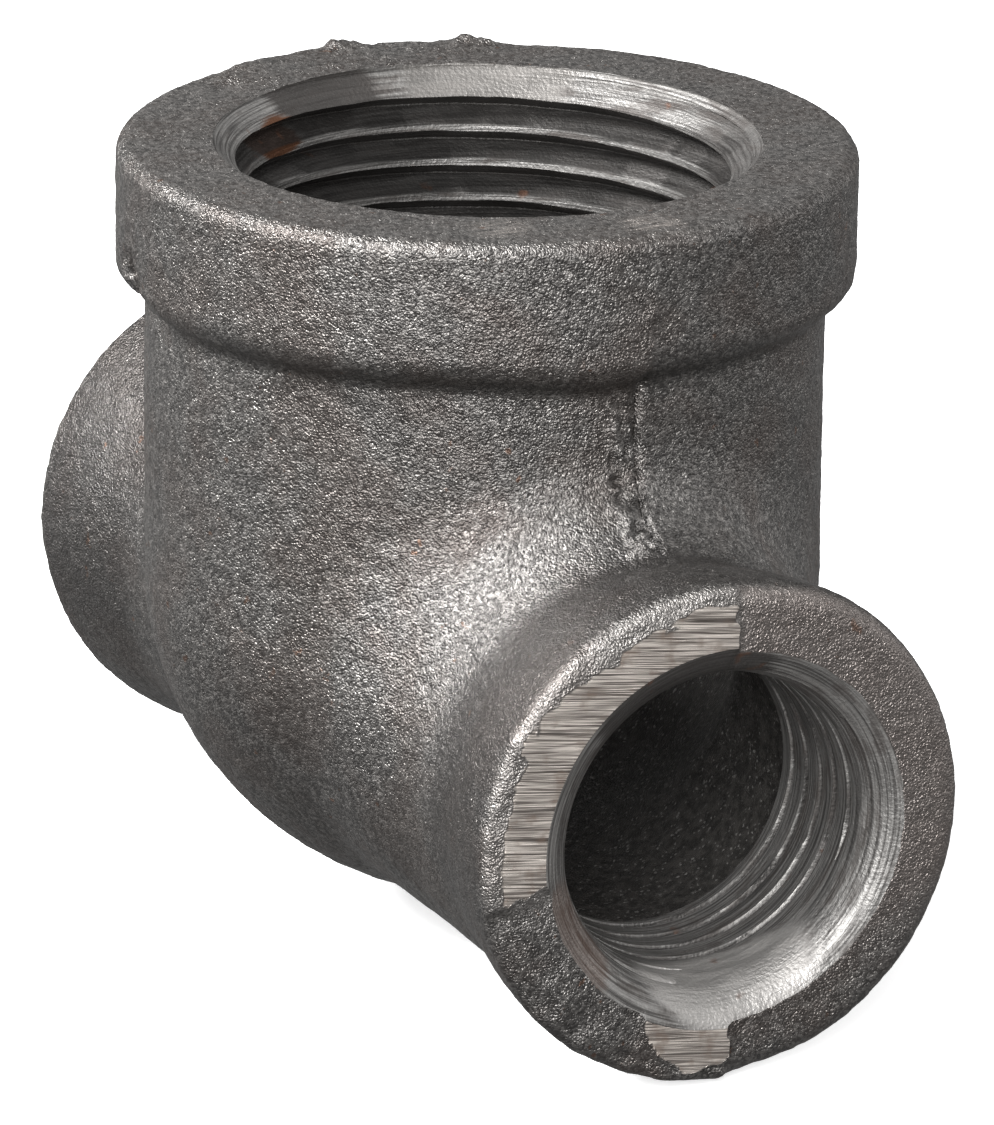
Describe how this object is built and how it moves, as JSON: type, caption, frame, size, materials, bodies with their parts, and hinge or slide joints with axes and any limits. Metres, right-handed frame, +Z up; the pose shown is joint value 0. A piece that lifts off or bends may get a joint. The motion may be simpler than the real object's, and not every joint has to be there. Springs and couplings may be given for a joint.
{
  "type": "reducing pipe tee",
  "caption": "Cast iron bullhead reducing tee: a large threaded branch port on top of a round-bottomed cup, with smaller threaded run ports in line at its foot.",
  "frame": {"origin": "under the branch axis, halfway between the two run faces, at the level of the lowest points of the run bands", "axes": "+Z is up along the branch axis, out of the large port; +X is along the run axis, out of one small port"},
  "size_m": [0.0704, 0.045, 0.0482],
  "materials": {
    "black_iron": "as-cast black malleable iron with a sand-grained skin, machined bores and partly ground mouth faces"
  },
  "bodies": {
    "root": {"reducing_tee_body": "black_iron"}
  },
  "joints": []
}
